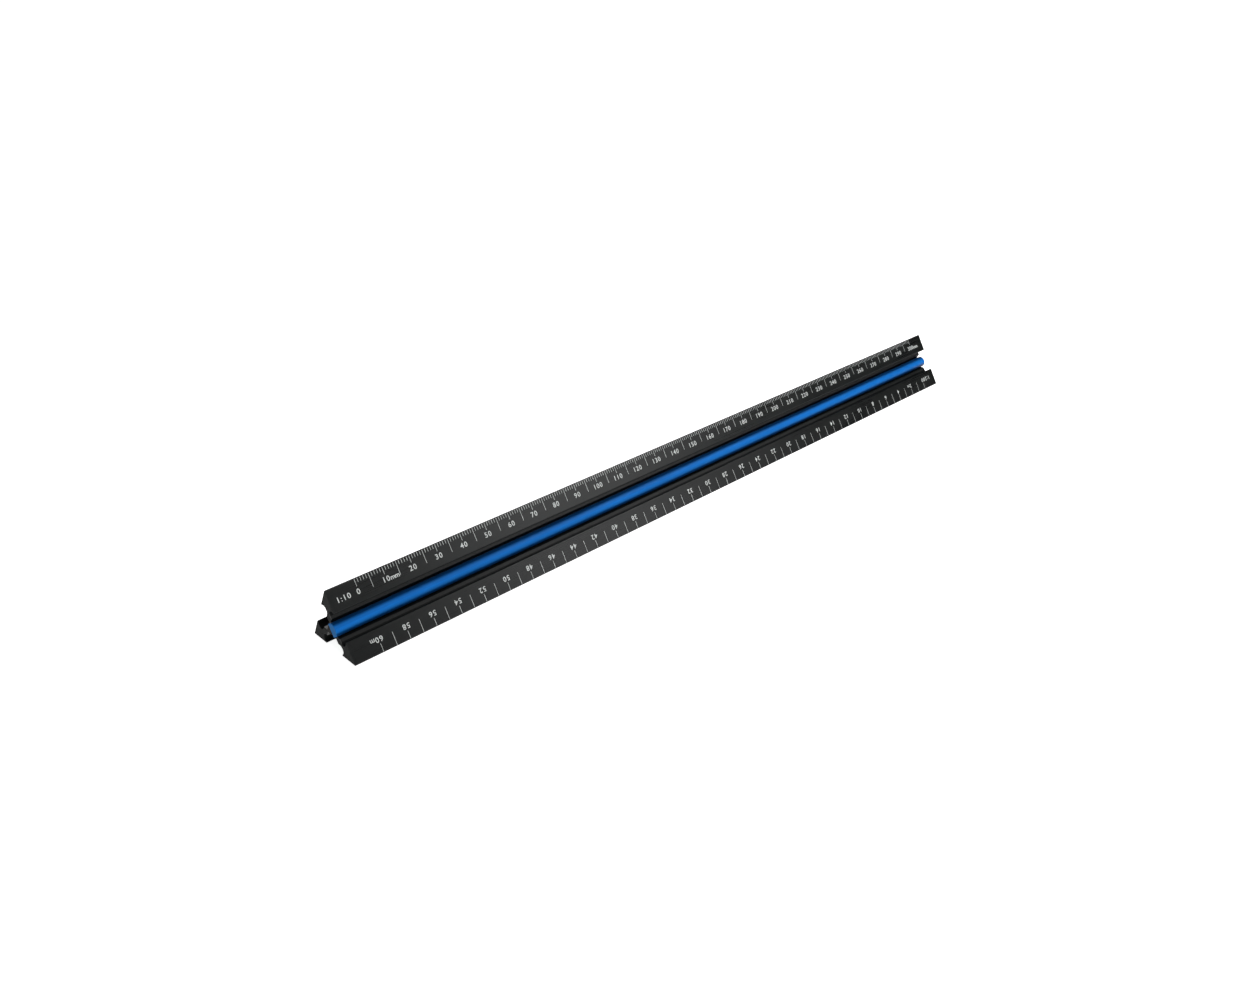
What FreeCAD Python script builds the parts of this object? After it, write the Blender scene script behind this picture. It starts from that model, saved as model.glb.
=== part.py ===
import FreeCAD, Part

import math
import os

import Sketcher

# Triangular scale ruler: one extruded aluminium body of triangular section, with a
# wide groove in each of its three sides, and a plastic colour strip pressed into the
# seat in the floor of each groove. A gap is left along both flanks of each strip.
# Frame: millimetres, origin at the centre of the side it lies on, +X along the ruler,
# -Y towards the side with the blue strip, +Z up to the top ridge.

SIZES = [
    ("body_length", 319.7, "body, saw cut to saw cut"),
    ("side_length", 25.3, "side of the triangle, measured to its sharp corners"),
    ("ridge_radius", 0.2, "round on each of the three ridges"),
    ("groove_half_opening", 4.4, "half of the groove's width at its lips"),
    ("groove_depth", 3.7, "side plane to groove floor"),
    ("groove_end_radius", 1.65, "round end of the groove under each lip"),
    ("groove_end_offset", 4.2, "middle of the groove to the centre of a round end"),
    ("lip_radius", 0.25, "round on each groove lip"),
    ("end_chamfer", 0.12, "deburred edge round both end faces"),
    ("seat_half_mouth", 3.35, "half of the strip seat's width at the groove floor"),
    ("seat_half_foot", 2.3, "half of the strip seat's width at its foot"),
    ("seat_depth", 5.4, "side plane to seat foot"),
    ("strip_half_width", 2.35, "half of a colour strip's width at its shoulders"),
    ("strip_crest_depth", 1.9, "side plane to the crest of a strip's crown"),
    ("strip_shoulder_depth", 3.75, "side plane to the shoulders, where the crown ends"),
    ("seat_clearance", 0.05, "gap between a strip's foot and its seat"),
    ("blue_left_out", 0.8, "blue strip past the body's left end"),
    ("blue_right_out", -0.3, "blue strip past the body's right end"),
    ("red_left_out", -3.2, "red strip past the body's left end, minus for short of it"),
    ("red_right_out", -0.2, "red strip past the body's right end"),
    ("green_left_out", -2.6, "green strip past the body's left end"),
    ("green_right_out", -0.5, "green strip past the body's right end"),
]

# Distance from the triangle's centre to each side, as an expression on the sheet.
INRADIUS = "Sizes.side_length / (2 * sqrt(3))"

doc = FreeCAD.newDocument("TriangularScale")


def make_sheet():
    sheet = doc.addObject("Spreadsheet::Sheet", "Sizes")
    for row, (alias, value, meaning) in enumerate(SIZES, start=1):
        sheet.set(f"A{row}", meaning)
        sheet.set(f"B{row}", str(value))
        sheet.setAlias(f"B{row}", alias)
    doc.recompute()
    return sheet


sheet = make_sheet()


def evaluate(expression):
    return float(sheet.evalExpression(expression))


def origin_feature(body, role):
    return next(f for f in body.Origin.OriginFeatures if f.Role == role)


def cross_section(body, name):
    """A sketch across the ruler: its axes are the body's Y and Z, its normal +X."""
    sketch = body.newObject("Sketcher::SketchObject", name)
    sketch.AttachmentSupport = [(origin_feature(body, "YZ_Plane"), "")]
    sketch.MapMode = "FlatFace"
    return sketch


def dimension(sketch, name, constraint, expression):
    """Adds a named driving constraint and binds it to the sheet."""
    index = sketch.addConstraint(constraint)
    sketch.renameConstraint(index, name)
    sketch.setExpression(f"Constraints.{name}", expression)


def closed_loop(sketch, corners):
    """Joins the corners with lines, end to start, and returns the lines' numbers."""
    points = [FreeCAD.Vector(y, z, 0) for y, z in corners]
    lines = []
    for start, end in zip(points, points[1:] + points[:1]):
        lines.append(sketch.addGeometry(Part.LineSegment(start, end), False))
    for line, following in zip(lines, lines[1:] + lines[:1]):
        sketch.addConstraint(Sketcher.Constraint("Coincident", line, 2, following, 1))
    return lines


def below_centre(line, point, guess):
    """A vertical dimension from a point up to the sketch's origin."""
    return Sketcher.Constraint("DistanceY", line, point, -1, 1, guess)


def triangle(sketch):
    """An equilateral triangle, base down, centred on the sketch's origin."""
    side = sheet.side_length
    low = -side / (2 * math.sqrt(3))
    base, right, left = closed_loop(sketch, [(-side / 2, low), (side / 2, low), (0, -2 * low)])
    sketch.addConstraint(Sketcher.Constraint("Symmetric", base, 1, base, 2, -2))
    sketch.addConstraint(Sketcher.Constraint("Equal", base, right))
    sketch.addConstraint(Sketcher.Constraint("Equal", right, left))
    dimension(sketch, "side", Sketcher.Constraint("DistanceX", base, 1, base, 2, side),
              "Sizes.side_length")
    dimension(sketch, "inradius", below_centre(base, 1, -low), INRADIUS)


def trapezoid(sketch, outer, inner):
    """A trapezoid across the base side's middle, between two levels below that side.
    outer and inner are each (depth, half width) as expressions on the sheet."""
    centre_drop = evaluate(INRADIUS)
    outer_z, inner_z = (evaluate(level[0]) - centre_drop for level in (outer, inner))
    outer_half, inner_half = (evaluate(level[1]) for level in (outer, inner))
    low, right, high, left = closed_loop(sketch, [
        (-outer_half, outer_z), (outer_half, outer_z), (inner_half, inner_z), (-inner_half, inner_z)])
    for edge, name, half, z, level in ((low, "outer", outer_half, outer_z, outer),
                                       (high, "inner", inner_half, inner_z, inner)):
        sketch.addConstraint(Sketcher.Constraint("Symmetric", edge, 1, edge, 2, -2))
        start, end = (1, 2) if edge == low else (2, 1)
        dimension(sketch, name + "_width",
                  Sketcher.Constraint("DistanceX", edge, start, edge, end, 2 * half),
                  f"2 * ({level[1]})")
        dimension(sketch, name + "_level", below_centre(edge, 1, -z), f"{INRADIUS} - ({level[0]})")


def groove_profile(sketch):
    """An open mouth, a flat floor and a round end under each lip. A short straight wall
    runs outwards from each lip into its round end."""
    drop = evaluate(INRADIUS)
    lip_half, radius = sheet.groove_half_opening, sheet.groove_end_radius
    offset, depth = sheet.groove_end_offset, sheet.groove_depth
    lip_to_centre = math.hypot(offset - lip_half, depth - radius)
    wall = math.sqrt(lip_to_centre ** 2 - radius ** 2)
    slope = math.asin(radius / lip_to_centre) + math.atan2(offset - lip_half, depth - radius)
    right = [FreeCAD.Vector(y, z - drop, 0) for y, z in (
        (lip_half, 0), (lip_half + wall * math.sin(slope), wall * math.cos(slope)),
        (offset + radius, depth - radius), (offset, depth))]
    left = [FreeCAD.Vector(-corner.x, corner.y, 0) for corner in right]
    mouth, right_wall, right_end, floor, left_end, left_wall = (
        sketch.addGeometry(shape, False) for shape in (
            Part.LineSegment(left[0], right[0]), Part.LineSegment(right[0], right[1]),
            Part.Arc(*right[1:]), Part.LineSegment(right[3], left[3]),
            Part.Arc(left[3], left[2], left[1]), Part.LineSegment(left[1], left[0])))
    sketch.addConstraint(Sketcher.Constraint("Coincident", mouth, 2, right_wall, 1))
    sketch.addConstraint(Sketcher.Constraint("Coincident", left_wall, 2, mouth, 1))
    for line, following in ((right_wall, right_end), (right_end, floor),
                            (floor, left_end), (left_end, left_wall)):
        sketch.addConstraint(Sketcher.Constraint("Tangent", line, 2, following, 1))
    sketch.addConstraint(Sketcher.Constraint("Symmetric", mouth, 1, mouth, 2, -2))
    sketch.addConstraint(Sketcher.Constraint("Symmetric", left_end, 3, right_end, 3, -2))
    sketch.addConstraint(Sketcher.Constraint("Equal", left_end, right_end))

    dimension(sketch, "mouth_width",
              Sketcher.Constraint("DistanceX", mouth, 1, mouth, 2, 2 * lip_half),
              "2 * Sizes.groove_half_opening")
    dimension(sketch, "mouth_level", below_centre(mouth, 1, drop), INRADIUS)
    dimension(sketch, "floor_level", below_centre(floor, 1, drop - depth),
              f"{INRADIUS} - Sizes.groove_depth")
    dimension(sketch, "end_radius", Sketcher.Constraint("Radius", right_end, radius),
              "Sizes.groove_end_radius")
    dimension(sketch, "end_spacing",
              Sketcher.Constraint("DistanceX", left_end, 3, right_end, 3, 2 * offset),
              "2 * Sizes.groove_end_offset")


def strip_profile(sketch):
    """A flat foot, two flanks that widen up to the shoulders, and a crown between these."""
    drop = evaluate(INRADIUS)
    foot_half = sheet.seat_half_foot - sheet.seat_clearance
    foot_z = sheet.seat_depth - sheet.seat_clearance - drop
    shoulder_half, shoulder_z = sheet.strip_half_width, sheet.strip_shoulder_depth - drop
    corners = [FreeCAD.Vector(y, z, 0) for y, z in (
        (-shoulder_half, shoulder_z), (-foot_half, foot_z), (foot_half, foot_z),
        (shoulder_half, shoulder_z))]
    left, foot, right = (sketch.addGeometry(Part.LineSegment(start, end), False)
                         for start, end in zip(corners, corners[1:]))
    crest = FreeCAD.Vector(0, sheet.strip_crest_depth - drop, 0)
    crown = sketch.addGeometry(Part.Arc(corners[0], crest, corners[-1]), False)
    left_end, right_end = sorted((1, 2), key=lambda end: sketch.getPoint(crown, end).x)
    for line, end, other, other_end in ((left, 2, foot, 1), (foot, 2, right, 1),
                                        (right, 2, crown, right_end), (left, 1, crown, left_end)):
        sketch.addConstraint(Sketcher.Constraint("Coincident", line, end, other, other_end))
    sketch.addConstraint(Sketcher.Constraint("Symmetric", foot, 1, foot, 2, -2))
    sketch.addConstraint(Sketcher.Constraint("Symmetric", left, 1, right, 2, -2))

    rise = "(Sizes.strip_shoulder_depth - Sizes.strip_crest_depth)"
    radius = f"(Sizes.strip_half_width ^ 2 + {rise} ^ 2) / (2 * {rise})"
    dimension(sketch, "foot_width",
              Sketcher.Constraint("DistanceX", foot, 1, foot, 2, 2 * foot_half),
              "2 * (Sizes.seat_half_foot - Sizes.seat_clearance)")
    dimension(sketch, "foot_level", below_centre(foot, 1, -foot_z),
              f"{INRADIUS} - Sizes.seat_depth + Sizes.seat_clearance")
    dimension(sketch, "shoulder_width",
              Sketcher.Constraint("DistanceX", left, 1, right, 2, 2 * shoulder_half),
              "2 * Sizes.strip_half_width")
    dimension(sketch, "shoulder_level", below_centre(left, 1, -shoulder_z),
              f"{INRADIUS} - Sizes.strip_shoulder_depth")
    dimension(sketch, "crown_radius",
              Sketcher.Constraint("Radius", crown, evaluate(radius)), radius)


def extrude(body, name, sketch, right, left):
    """Pads a cross section both ways along X: right and left are expressions."""
    pad = body.newObject("PartDesign::Pad", name)
    pad.Profile = sketch
    pad.SideType = "Two sides"
    pad.setExpression("Length", right)
    pad.setExpression("Length2", left)
    return pad


def cut_through(body, name, sketch):
    pocket = body.newObject("PartDesign::Pocket", name)
    pocket.Profile = sketch
    pocket.SideType = "Symmetric"
    pocket.Type = "ThroughAll"
    return pocket


def edges_along_ruler(shape, wanted):
    """Names of the full-length edges whose place in the section satisfies wanted(y, z)."""
    names = []
    for number, edge in enumerate(shape.Edges, start=1):
        start, end = edge.Vertexes[0].Point, edge.Vertexes[-1].Point
        if abs(end.x - start.x) > 0.9 * sheet.body_length and wanted(start.y, start.z):
            names.append(f"Edge{number}")
    return names


def on_sides(depth, half_width):
    """True for a section point at this depth and this far from the middle of any side."""
    def wanted(y, z):
        for turn in (0, 120, 240):
            a = math.radians(turn)
            across = y * math.cos(a) + z * math.sin(a)
            down = -y * math.sin(a) + z * math.cos(a) + evaluate(INRADIUS)
            if math.isclose(down, depth, abs_tol=0.01) and math.isclose(abs(across), half_width,
                                                                       abs_tol=0.01):
                return True
        return False
    return wanted


def round_edges(body, name, base, depth, half_width, radius):
    fillet = body.newObject("PartDesign::Fillet", name)
    fillet.Base = (base, edges_along_ruler(base.Shape, on_sides(depth, half_width)))
    fillet.setExpression("Radius", radius)
    doc.recompute()
    return fillet


def stand(body, turn):
    """Turns a sub-part about the ruler's centre line and lifts it to rest on its base side."""
    body.Placement = FreeCAD.Placement(FreeCAD.Vector(), FreeCAD.Rotation(FreeCAD.Vector(1, 0, 0), turn))
    body.setExpression("Placement.Base.z", INRADIUS)


def make_scale_body():
    body = doc.addObject("PartDesign::Body", "ScaleBody")
    body.Label = "scale_body"

    section = cross_section(body, "TriangleSection")
    triangle(section)
    bar = extrude(body, "Bar", section, "Sizes.body_length / 2", "Sizes.body_length / 2")

    groove_section = cross_section(body, "GrooveSection")
    groove_profile(groove_section)
    groove = cut_through(body, "Groove", groove_section)

    seat_section = cross_section(body, "SeatSection")
    trapezoid(seat_section, ("Sizes.groove_depth", "Sizes.seat_half_mouth"),
              ("Sizes.seat_depth", "Sizes.seat_half_foot"))
    seat = cut_through(body, "Seat", seat_section)
    doc.recompute()
    check_cut(bar, groove)
    check_cut(groove, seat)

    sides = body.newObject("PartDesign::PolarPattern", "ThreeSides")
    sides.Originals = [groove, seat]
    sides.Axis = (origin_feature(body, "X_Axis"), [""])
    sides.Angle = 360
    sides.Occurrences = 3
    body.Tip = sides
    doc.recompute()
    check_cut(seat, sides)

    lips = round_edges(body, "GrooveLips", sides, 0, sheet.groove_half_opening,
                       "Sizes.lip_radius")
    ridges = round_edges(body, "Ridges", lips, 0, sheet.side_length / 2, "Sizes.ridge_radius")

    ends = body.newObject("PartDesign::Chamfer", "Ends")
    ends.Base = (ridges, end_faces(ridges.Shape))
    ends.setExpression("Size", "Sizes.end_chamfer")
    body.Tip = ends
    stand(body, 0)
    return body


def end_faces(shape):
    names = []
    for number, face in enumerate(shape.Faces, start=1):
        if abs(face.normalAt(0, 0).x) > 0.99:
            names.append(f"Face{number}")
    return names


def check_cut(before, after):
    if after.Shape.Volume >= before.Shape.Volume - 1:
        raise RuntimeError(f"{after.Label} removed nothing")


def make_strip(colour, turn):
    """A D-shaped strip with its foot at the bottom of the seat and its crown in the groove."""
    body = doc.addObject("PartDesign::Body", colour.capitalize() + "Strip")
    body.Label = f"{colour}_groove_strip"
    section = cross_section(body, colour + "_section")
    strip_profile(section)
    body.Tip = extrude(body, colour + "_length", section,
                       f"Sizes.body_length / 2 + Sizes.{colour}_right_out",
                       f"Sizes.body_length / 2 + Sizes.{colour}_left_out")
    stand(body, turn)
    return body


# The base side is turned to face front and back for the other two strips.
STRIP_TURNS = {"blue": -120, "red": 120, "green": 0}

sub_parts = [make_scale_body()]
sub_parts += [make_strip(colour, turn) for colour, turn in STRIP_TURNS.items()]
doc.recompute()


def check_document():
    for item in doc.Objects:
        if {"Invalid", "Error"} & set(item.State):
            raise RuntimeError(f"{item.Label}: {item.State}")
        if item.TypeId == "Sketcher::SketchObject" and not item.FullyConstrained:
            raise RuntimeError(f"{item.Label} isn't fully constrained")
    for part in sub_parts:
        if part.Shape.isNull() or not part.Shape.isValid() or len(part.Shape.Solids) != 1:
            raise RuntimeError(f"{part.Label} isn't one valid solid")


check_document()
os.makedirs("parts", exist_ok=True)
for part in sub_parts:
    part.Shape.exportStep(f"parts/{part.Label}.step")
    box = part.Shape.BoundBox
    print(f"{part.Label}: volume {part.Shape.Volume:.1f} mm3, "
          f"X {box.XMin:.2f}..{box.XMax:.2f}, Y {box.YMin:.2f}..{box.YMax:.2f}, "
          f"Z {box.ZMin:.2f}..{box.ZMax:.2f}")
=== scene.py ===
import math

import bpy
from mathutils import Matrix, Vector


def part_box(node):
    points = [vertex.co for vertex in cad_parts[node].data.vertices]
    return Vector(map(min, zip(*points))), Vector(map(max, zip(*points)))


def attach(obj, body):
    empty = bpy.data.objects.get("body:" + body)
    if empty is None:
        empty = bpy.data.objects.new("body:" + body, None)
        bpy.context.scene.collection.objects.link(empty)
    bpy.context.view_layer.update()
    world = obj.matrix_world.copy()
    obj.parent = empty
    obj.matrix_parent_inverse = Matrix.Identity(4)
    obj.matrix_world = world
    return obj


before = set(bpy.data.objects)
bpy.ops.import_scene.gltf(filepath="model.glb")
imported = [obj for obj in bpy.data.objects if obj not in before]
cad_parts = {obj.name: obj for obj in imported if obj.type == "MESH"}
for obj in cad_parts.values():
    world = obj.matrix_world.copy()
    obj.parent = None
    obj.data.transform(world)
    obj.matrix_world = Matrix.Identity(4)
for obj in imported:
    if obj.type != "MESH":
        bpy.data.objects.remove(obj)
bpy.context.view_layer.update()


# The body is one bar of extruded aluminium, triangular in section with a wide
# groove in each side. It is sawn to length, deburred and then anodised satin black,
# so the die's fine lengthwise lines still show and the ends keep their saw marks.

SIDE = 25.3  # mm, side of the triangle to its sharp corners
CENTRE_HEIGHT = SIDE / (2 * math.sqrt(3))
HEIGHT = 3 * CENTRE_HEIGHT
SIDE_TURNS = {"blue": -120, "red": 120, "green": 0}  # degrees from the side it lies on
BLACK = (0.0025, 0.0034, 0.0034)
BLACK_WORN = (0.0055, 0.0068, 0.0067)
BLACK_RUBBED = (0.04, 0.041, 0.04)
SAWN = (0.034, 0.035, 0.034)
DEBURR_HIGHLIGHT = (0.06, 0.062, 0.06)
BARE_METAL_AND_HIGHLIGHT = (0.27, 0.275, 0.27)
BLADE_SHIFT = (0, 62.0, -55.0)  # mm, brings the middle of the saw blade to the origin
BODY_RELIEF = 0.006  # mm, height of the die lines and saw marks


class Wire:
    """A socket inside a material, so that shader maths reads as ordinary sums."""

    def __init__(self, tree, socket=None):
        self.tree = tree
        self.socket = socket

    def node(self, kind, settings=None, sockets=None, out=0):
        """Adds a node, sets it up, joins or fills its sockets, gives its output."""
        made = self.tree.nodes.new("ShaderNode" + kind)
        for name, value in (settings or {}).items():
            setattr(made, name, value)
        for name, value in (sockets or {}).items():
            if isinstance(value, Wire):
                self.tree.links.new(value.socket, made.inputs[name])
            else:
                made.inputs[name].default_value = value
        return Wire(self.tree, made.outputs[out])

    def other(self, out):
        """Another output of the same node."""
        return Wire(self.tree, self.socket.node.outputs[out])

    def _sum(self, operation, first, second):
        return self.node("Math", {"operation": operation}, {0: first, 1: second})

    def __add__(self, value):
        return self._sum("ADD", self, value)

    __radd__ = __add__

    def __sub__(self, value):
        return self._sum("SUBTRACT", self, value)

    def __rsub__(self, value):
        return self._sum("SUBTRACT", value, self)

    def __mul__(self, value):
        return self._sum("MULTIPLY", self, value)

    __rmul__ = __mul__


def start_material(name):
    """A new material, its shader node, and the place on the object in millimetres."""
    material = bpy.data.materials.new(name)
    material.use_nodes = True
    tree = material.node_tree
    metres = Wire(tree).node("TexCoord", out="Object")
    place = metres.node("VectorMath", {"operation": "SCALE"},
                        {"Vector": metres, "Scale": 1000.0})
    return material, tree.nodes["Principled BSDF"], place


def noise(place, stretch, detail=3.0, roughness=0.55):
    """Noise with so many grains per millimetre along each axis."""
    fitted = place.node("Mapping", {"vector_type": "POINT"},
                        {"Vector": place, "Scale": stretch})
    return fitted.node("TexNoise", {"noise_dimensions": "3D"},
                       {"Vector": fitted, "Scale": 1.0, "Detail": detail,
                        "Roughness": roughness})


def fade(value, start, end):
    """0 before start and 1 after end, eased in between. Start may be the larger."""
    return value.node("MapRange", {"interpolation_type": "SMOOTHSTEP"},
                      {"Value": value, "From Min": start, "From Max": end})


def blend(amount, first, second):
    """Between two colours, each a Wire or three numbers."""
    first, second = [c if isinstance(c, Wire) else (*c, 1) for c in (first, second)]
    return amount.node("Mix", {"data_type": "RGBA"},
                       {0: amount, 6: first, 7: second}, out=2)


def lower(first, second):
    """The smaller of two values."""
    return first.node("Math", {"operation": "MINIMUM"}, {0: first, 1: second})


def plug(shader, **wires):
    """Joins wires to the shader's sockets, named with _ for a space."""
    for name, wire in wires.items():
        wire.tree.links.new(wire.socket, shader.inputs[name.replace("_", " ")])


def bump(height, depth):
    """Height, from 0 to 1, raised by so many millimetres."""
    return height.node("Bump", {}, {"Strength": 1.0, "Distance": depth * 0.001,
                                    "Height": height})


def below_side(place, turn):
    """How far each point lies below the plane of the side with this turn."""
    angle = math.radians(turn)
    inward = (0, -math.sin(angle), math.cos(angle))
    offset = inward[2] * CENTRE_HEIGHT - CENTRE_HEIGHT
    return place.node("VectorMath", {"operation": "DOT_PRODUCT"},
                      {0: place, 1: inward}, out="Value") - offset


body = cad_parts["scale_body"]
half_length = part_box("scale_body")[1].x * 1000

black_anodise, shader, place = start_material("black_anodised_aluminium")
shader.inputs["IOR"].default_value = 1.4

parts = place.node("SeparateXYZ", {}, {0: place})
section = place.node("CombineXYZ", {}, {1: parts.other("Y"), 2: parts.other("Z")})

# How far below its own side each point lies: 0 on the lands, more in the grooves.
depth = None
for turn in SIDE_TURNS.values():
    below = below_side(section, turn)
    depth = below if depth is None else lower(depth, below)
in_groove = fade(depth, 0.08, 0.5)

# Distance to the nearest of the three ridges.
ridge_distance = None
for corner in ((0, 0, HEIGHT), (0, SIDE / 2, 0), (0, -SIDE / 2, 0)):
    away = section.node("VectorMath", {"operation": "DISTANCE"},
                        {0: section, 1: corner}, out="Value")
    ridge_distance = away if ridge_distance is None else lower(ridge_distance, away)

die_lines = noise(place, (0.012, 5.5, 5.5), detail=4.0, roughness=0.65)
fine_lines = noise(place, (0.05, 24.0, 24.0), detail=2.0)
cloud = noise(place, (0.035, 0.11, 0.11), detail=3.0)
etch = noise(place, (9.0, 9.0, 9.0), detail=2.0, roughness=0.7)

# The two sawn ends: arcs left by a round blade, and a thin lighter line at the deburring,
# a painted edge highlight.
out_along = place.node("Math", {"operation": "ABSOLUTE"}, {0: parts.other("X")})
on_end = fade(out_along, half_length - 0.03, half_length - 0.005)
saw_arcs = place.node(
    "TexWave", {"wave_type": "RINGS", "rings_direction": "X"},
    {"Vector": place.node("Mapping", {"vector_type": "POINT"},
                          {"Vector": section, "Location": BLADE_SHIFT}),
     "Scale": 0.85, "Distortion": 1.4, "Detail": 3.0, "Detail Scale": 2.0})
deburr_highlight = fade(out_along, half_length - 0.16, half_length - 0.10) * (1 - on_end)

# Handling wears the dye thin along the ridges and leaves a few small bright nicks.
nicks = noise(place, (0.9, 3.0, 3.0), detail=4.0, roughness=0.7)
ridge_wear = fade(ridge_distance, 0.75, 0.2) * fade(cloud + 0.35 * nicks, 0.5, 0.85)
bright_nick = fade(ridge_distance, 0.42, 0.22) * fade(nicks, 0.62, 0.72)

tone = fade(cloud, 0.3, 0.7) * 0.45 + fade(die_lines, 0.3, 0.75) * 0.4
black = blend(tone, BLACK, BLACK_WORN)
black = blend(ridge_wear * 0.7, black, BLACK_RUBBED)
black = blend(on_end * (0.3 + 0.5 * saw_arcs), black, SAWN)
# Painted highlight: a light line on the seat rims close to each end, where the edge
# catches light. The same bare-metal colour also marks the real nicks.
seat_rim_highlight = fade(depth, 3.4, 3.75) * fade(out_along, half_length - 0.2, half_length - 0.1)
# Painted highlight: a faint light line on the deburred edge of each end, where the edge
# catches light.
black = blend(deburr_highlight * 0.2, black, DEBURR_HIGHLIGHT)
black = blend(seat_rim_highlight * (1 - on_end) * 0.3, black, BARE_METAL_AND_HIGHLIGHT)
black = blend(bright_nick * 0.6, black, BARE_METAL_AND_HIGHLIGHT)

rough = 0.29 + 0.12 * (die_lines - 0.5) + 0.1 * (cloud - 0.5) + 0.12 * in_groove
rough = rough + 0.12 * on_end - 0.08 * bright_nick
relief = 0.55 * die_lines + 0.25 * fine_lines + 0.2 * etch + 1.6 * on_end * saw_arcs
plug(shader, Base_Color=black, Roughness=rough, Metallic=bright_nick * 0.7,
     Normal=bump(relief, BODY_RELIEF))

# Sawn ends, lips and the round ends of the grooves stay matt: the die burnishes none.
under_lip = fade(depth, 0.04, 0.16) * fade(ridge_distance, 9.2, 8.9)
matt = black.node("BsdfPrincipled", {}, {"IOR": 1.4, "Specular IOR Level": 0.08,
                                         "Base Color": black, "Roughness": 0.75,
                                         "Normal": bump(relief, BODY_RELIEF)})
satin = Wire(black.tree, shader.outputs[0])
finish = black.node("MixShader", {}, {0: on_end + under_lip * (1 - on_end) * 0.85,
                                      1: satin, 2: matt})
black.tree.links.new(finish.socket, black.tree.nodes["Material Output"].inputs["Surface"])
body.material_slots[0].material = black_anodise


# Three colour strips tell the sides apart. Each is a bar of extruded coloured plastic
# with a round crown, pressed into its seat in the groove floor. They are cropped by hand,
# so their ends don't line up and show a paler, rougher cut, rimmed with a painted
# highlight.

STRIP_COLOURS = {
    "blue": ((0.0005, 0.18, 0.66), (0.014, 0.15, 0.38)),
    "red": ((0.42, 0.012, 0.014), (0.50, 0.14, 0.13)),
    "green": ((0.006, 0.22, 0.07), (0.12, 0.33, 0.19)),
}

for colour_name, (colour, cut_colour) in STRIP_COLOURS.items():
    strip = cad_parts[colour_name + "_groove_strip"]
    left, right = [corner.x * 1000 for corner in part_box(strip.name)]
    plastic, shader, place = start_material(colour_name + "_strip_plastic")
    shader.inputs["IOR"].default_value = 1.22

    along = place.node("SeparateXYZ", {}, {0: place})
    mould_lines = noise(place, (0.008, 3.2, 3.2), detail=3.0, roughness=0.6)
    clouding = noise(place, (0.03, 0.3, 0.3), detail=2.0)
    depth = below_side(place, SIDE_TURNS[colour_name])
    scuffs = noise(place, (0.35, 6.0, 6.0), detail=4.0, roughness=0.7)
    cut_marks = noise(place, (1.0, 1.6, 9.0), detail=3.0, roughness=0.7)

    end_gap = lower(along - left, right - along)
    on_cut = fade(end_gap, 0.03, 0.01)
    near_cut_highlight = fade(end_gap, 0.35, 0.05)

    deeper = tuple(0.78 * c for c in colour)
    paint = blend(fade(clouding, 0.3, 0.7) * 0.6 + fade(mould_lines, 0.35, 0.7) * 0.4,
                  deeper, colour)
    # Painted shade: the colour darkens towards the strip's flanks, down in the groove,
    # where the walls shade them.
    painted_flank_shade = tuple(0.12 * c for c in colour)
    paint = blend(fade(depth, 1.86, 2.6) * 0.9, paint, painted_flank_shade)
    # Painted highlight: a paler rim just inside each cut end, broken up by scuffs, where
    # the edge catches light.
    pale = tuple(0.6 * c + 0.4 * w for c, w in zip(colour, cut_colour))
    paint = blend(near_cut_highlight * fade(scuffs, 0.35, 0.65), paint, pale)
    paint = blend(on_cut * fade(cut_marks, 0.2, 0.8), paint, cut_colour)

    rough = 0.46 + 0.16 * (mould_lines - 0.5) + 0.12 * fade(scuffs, 0.55, 0.75)
    rough = rough + 0.3 * on_cut
    relief = 0.7 * mould_lines + 0.3 * scuffs + on_cut * cut_marks
    plug(shader, Base_Color=paint, Roughness=rough, Normal=bump(relief, 0.01))
    strip.material_slots[0].material = plastic


# The graduations are printed on the flat lands in off-white ink, one scale along each
# side of each ridge. Both scales of a side have the tops of their figures towards
# their own ridge, so they run in opposite directions and the ruler is turned to read.

LEFT_ZERO = -half_length + 10.22  # mm, where the scales that run to the right start
RIGHT_ZERO = LEFT_ZERO + 300
INK_HEIGHT = 0.02
TICK_WIDTH = 0.14
TICK_START = 0.25  # mm from the ridge to the start of every line
FIGURE_SIZE = 2.5  # gives figures 1.8 mm tall
UNIT_SIZE = 2.25
STROKE_GAIN = 0.03  # ink spreads a little past the figures' outlines
FIGURE_FOOT = 5.2  # mm from the ridge to the foot of the figures
FIGURE_SPACING = 1.2
FIGURE_PITCH = 0.5 * FIGURE_SIZE * FIGURE_SPACING
RIDGE_REACH = 12.5  # mm from the middle of a side to its ridge

ink, shader, place = start_material("marking_ink")
shader.inputs["IOR"].default_value = 1.45
coverage = noise(place, (3.0, 3.0, 3.0), detail=4.0, roughness=0.75)
worn = noise(place, (0.05, 0.4, 0.4), detail=2.0)
ink_tone = fade(coverage, 0.25, 0.6) * (0.75 + 0.25 * fade(worn, 0.3, 0.6))
plug(shader, Base_Color=blend(ink_tone, (0.42, 0.44, 0.43), (0.74, 0.77, 0.76)),
     Roughness=0.5 + 0.2 * coverage, Normal=bump(coverage, 0.004))


def pick(thing):
    """Leaves only this object selected, and active."""
    bpy.ops.object.select_all(action="DESELECT")
    thing.select_set(True)
    bpy.context.view_layer.objects.active = thing


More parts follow.
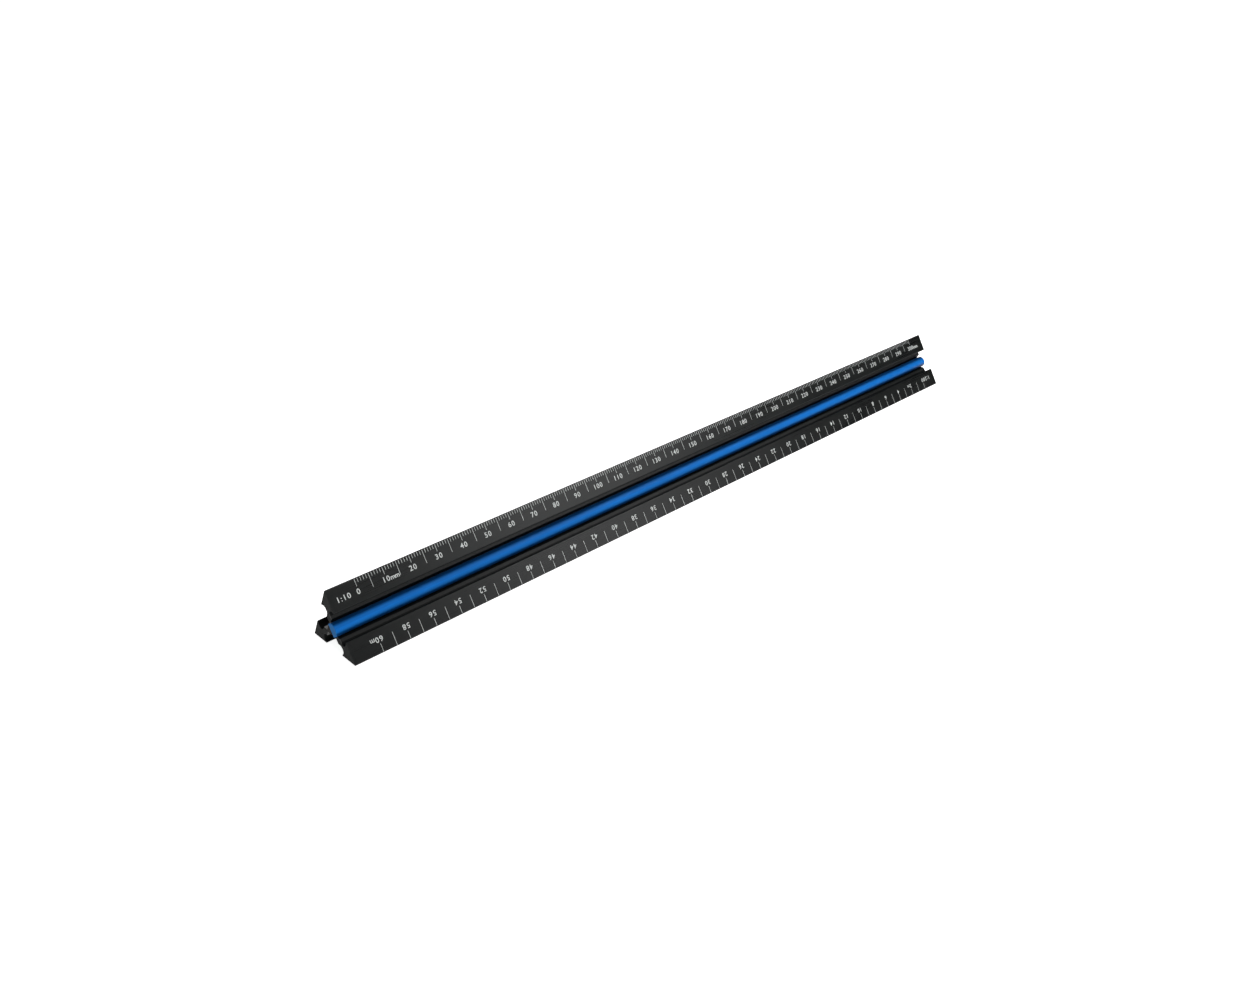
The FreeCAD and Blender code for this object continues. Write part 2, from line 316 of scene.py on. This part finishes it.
def make_tick(at, start, end):
    """One line of ink from start to end, measured from the ridge, with sloped flanks."""
    bpy.ops.object.select_all(action="DESELECT")
    bpy.ops.mesh.primitive_cube_add(
        size=1, location=(at, -(start + end) / 2, INK_HEIGHT / 4),
        scale=(TICK_WIDTH, end - start, INK_HEIGHT * 1.5))
    tick = bpy.context.object
    bpy.ops.object.transform_apply(location=True, rotation=True, scale=True)
    bpy.ops.object.mode_set(mode="EDIT")
    bpy.ops.mesh.select_all(action="DESELECT")
    bpy.ops.object.mode_set(mode="OBJECT")
    for face in tick.data.polygons:
        face.select = face.normal.z > 0.5
    bpy.ops.object.mode_set(mode="EDIT")
    bpy.ops.mesh.inset(thickness=0.025, depth=0)
    bpy.ops.transform.translate(value=(0, 0, INK_HEIGHT * 0.3))
    bpy.ops.object.mode_set(mode="OBJECT")
    return tick


def repeat(thing, count, step):
    """Copies of a mesh in a row along the ruler, kept as one mesh."""
    pick(thing)
    row = thing.modifiers.new("row", "ARRAY")
    row.count = count
    row.use_relative_offset = False
    row.use_constant_offset = True
    row.constant_offset_displace = (step, 0, 0)
    bpy.ops.object.modifier_apply(modifier=row.name)
    return thing


def make_lettering(text, left, size=FIGURE_SIZE, spacing=FIGURE_SPACING):
    """Figures or letters as a thin mesh, standing on the figures' foot line."""
    bpy.ops.object.select_all(action="DESELECT")
    bpy.ops.object.text_add(location=(0, 0, 0))
    lettering = bpy.context.object
    lettering.data.body = text
    lettering.data.size = size
    lettering.data.space_character = spacing
    lettering.data.resolution_u = 3
    lettering.data.extrude = INK_HEIGHT
    lettering.data.offset = STROKE_GAIN
    bpy.ops.object.convert(target="MESH")
    lettering = bpy.context.object
    lettering.location = (left, -FIGURE_FOOT, 0)
    bpy.ops.object.transform_apply(location=True, rotation=False, scale=False)
    return lettering


def make_scale(name, side, runs_right, ratio, label_right, figures, ticks):
    """One whole scale, modelled flat in millimetres and then laid on its land."""
    parts = [make_lettering(ratio, 0)]
    reach = max(corner.co.x for corner in parts[0].data.vertices)
    parts[0].location.x = label_right - reach

    for at, number, unit in figures:
        text = str(number)
        left = at - len(text) * FIGURE_PITCH / 2
        parts.append(make_lettering(text, left))
        if unit:
            after = at + len(text) * FIGURE_PITCH / 2
            parts.append(make_lettering(unit, after - 0.15, UNIT_SIZE, 0.92))

    for first, step, count, end in ticks:
        parts.append(repeat(make_tick(first, TICK_START, end), count, step))

    bpy.ops.object.select_all(action="DESELECT")
    for part in parts:
        part.select_set(True)
    bpy.context.view_layer.objects.active = parts[0]
    bpy.ops.object.transform_apply(location=True, rotation=False, scale=False)
    bpy.ops.object.join()
    scale = bpy.context.object
    scale.name = scale.data.name = name

    bpy.ops.object.mode_set(mode="EDIT")
    bpy.ops.mesh.select_all(action="SELECT")
    bpy.ops.mesh.remove_doubles(threshold=0.0005)
    bpy.ops.mesh.normals_make_consistent(inside=False)
    bpy.ops.object.mode_set(mode="OBJECT")

    # On the side underneath, the scale runs right if its ridge is the front one.
    way = 1 if runs_right else -1
    zero = LEFT_ZERO if runs_right else RIGHT_ZERO
    flat = Matrix(((way, 0, 0, zero),
                   (0, -way, 0, -way * RIDGE_REACH),
                   (0, 0, -1, 0),
                   (0, 0, 0, 1)))
    centre = Matrix.Translation((0, 0, CENTRE_HEIGHT))
    turn = Matrix.Rotation(math.radians(SIDE_TURNS[side]), 4, "X")
    scale.matrix_world = Matrix.Scale(0.001, 4) @ centre @ turn @ centre.inverted() @ flat
    bpy.ops.object.transform_apply(location=True, rotation=True, scale=True)

    scale.data.materials.clear()
    scale.data.materials.append(ink)
    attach(scale, "root")
    return scale


# A fine scale has a line every millimetre, longer every five, and its zero figured.
# The lines at the tens stop short of their figures.
TENS = 30
FINE_TICKS = [(10 * row + first, 1, 4, 1.6) for row in range(TENS) for first in (1, 6)]
FINE_TICKS += [(5, 10, TENS, 4.95), (0, 10, TENS + 1, 2.75)]
COARSE_TICKS = [(5, 10, TENS, 4.7), (0, 10, TENS + 1, 2.95)]
FINE_RATIO_END = -2.9  # mm from the zero line to the right end of the ratio
COARSE_RATIO_END = 0.6

SCALES = [  # side, fine ratio, its step and unit, coarse ratio, its step in metres
    ("blue", "1:10", 10, "mm", "1:200", 2),
    ("red", "1:20", 20, "cm", "1:100", 1),
    ("green", "1:50", 50, "cm", "1:500", 5),
]


def make_figures(first, step, unit):
    """A figure at every ten from this one on, the unit at the first ten and the last."""
    return [(10 * n, step * n, unit if n in (1, TENS) else "")
            for n in range(first, TENS + 1)]


for side, fine, fine_step, fine_unit, coarse, coarse_step in SCALES:
    make_scale("scale_" + fine.replace(":", "_"), side, True, fine, FINE_RATIO_END,
               make_figures(0, fine_step, fine_unit), FINE_TICKS)
    make_scale("scale_" + coarse.replace(":", "_"), side, False, coarse,
               COARSE_RATIO_END, make_figures(1, coarse_step, "m"), COARSE_TICKS)


# The ruler lies on a plain white table, which isn't part of it and glows a little, as
# a light table does. A weak ceiling light and softboxes stand round it: in front, low
# on the right for the sheen along the body, close to the right end, and behind.

TABLE_GLOW = 0.9
AIR_LIGHT = 0.03
BACKDROP_GLOW = 0.93

bpy.ops.object.select_all(action="DESELECT")
bpy.ops.mesh.primitive_circle_add(vertices=64, radius=12, fill_type="NGON",
                                  location=(0, 0, -0.00006))
floor = bpy.context.object
floor.name = "floor"
bpy.ops.object.transform_apply(location=True, rotation=False, scale=False)
table_white, shader, place = start_material("table_white")
shader.inputs["Specular IOR Level"].default_value = 0.1
table_grain = noise(place, (0.05, 0.05, 0.05))
plug(shader, Base_Color=blend(table_grain, (0.86, 0.86, 0.86), (0.88, 0.88, 0.88)),
     Roughness=0.85 + 0.05 * table_grain)
shader.inputs["Emission Color"].default_value = (1, 1, 1, 1)
shader.inputs["Emission Strength"].default_value = TABLE_GLOW
floor.data.materials.append(table_white)

room = bpy.data.worlds.new("studio_room")
room.use_nodes = True
air = room.node_tree.nodes["Background"]
air.inputs["Color"].default_value = (1, 1, 1, 1)
air.inputs["Strength"].default_value = AIR_LIGHT

# The backdrop looks pale to the camera but sheds little light on the ruler.
dim = Wire(room.node_tree, air.outputs[0])
pale_wall = dim.node("Background", {}, {"Color": (1, 1, 1, 1),
                                        "Strength": BACKDROP_GLOW})
wall = dim.node("MixShader", {}, {0: dim.node("LightPath"), 1: dim, 2: pale_wall})
room.node_tree.links.new(wall.socket,
                         room.node_tree.nodes["World Output"].inputs["Surface"])
bpy.context.scene.world = room


def aim(light, towards):
    """Turns a light so that it shines in this direction."""
    light.rotation_euler = Vector(towards).to_track_quat("-Z", "Y").to_euler()


bpy.ops.object.light_add(type="SUN", location=(0, 0, 2))
ceiling = bpy.context.object
ceiling.name = "ceiling_light"
ceiling.data.energy = 0.5
ceiling.data.angle = math.radians(80)
aim(ceiling, (-0.1, 0.1, -1))


def softbox(name, place, width, height, power):
    """A rectangular area light at this place, turned to the middle of the ruler."""
    bpy.ops.object.light_add(type="AREA", location=place)
    box = bpy.context.object
    box.name = name
    box.data.shape = "RECTANGLE"
    box.data.size, box.data.size_y = width, height
    box.data.energy = power
    aim(box, -Vector(place))


softbox("front_softbox", (-0.3, -1.5, 0.8), 0.8, 0.6, 3)
softbox("right_softbox", (0.81, -1.2, 0.53), 0.45, 0.5, 1.9)
softbox("key_softbox", (0.3, -0.3, 0.42), 0.25, 0.25, 1.55)
softbox("back_softbox", (0.15, 1.3, 0.8), 0.9, 0.7, 7)
softbox("back_right_softbox", (0.7, 0.9, 0.4), 0.4, 0.4, 1.2)


# The camera stands at the left front corner, a forearm's length away and above.

bpy.ops.object.camera_add(location=(-0.2817, -0.26916, 0.19844),
                          rotation=[math.radians(a) for a in (62.164, 1.327, -43.269)])
camera = bpy.context.object
camera.name = "camera"
camera.data.lens = 31.288
camera.data.sensor_width = 36
camera.data.clip_start = 0.01
camera.data.dof.use_dof = False
bpy.context.scene.camera = camera
bpy.context.scene.view_settings.view_transform = "Standard"
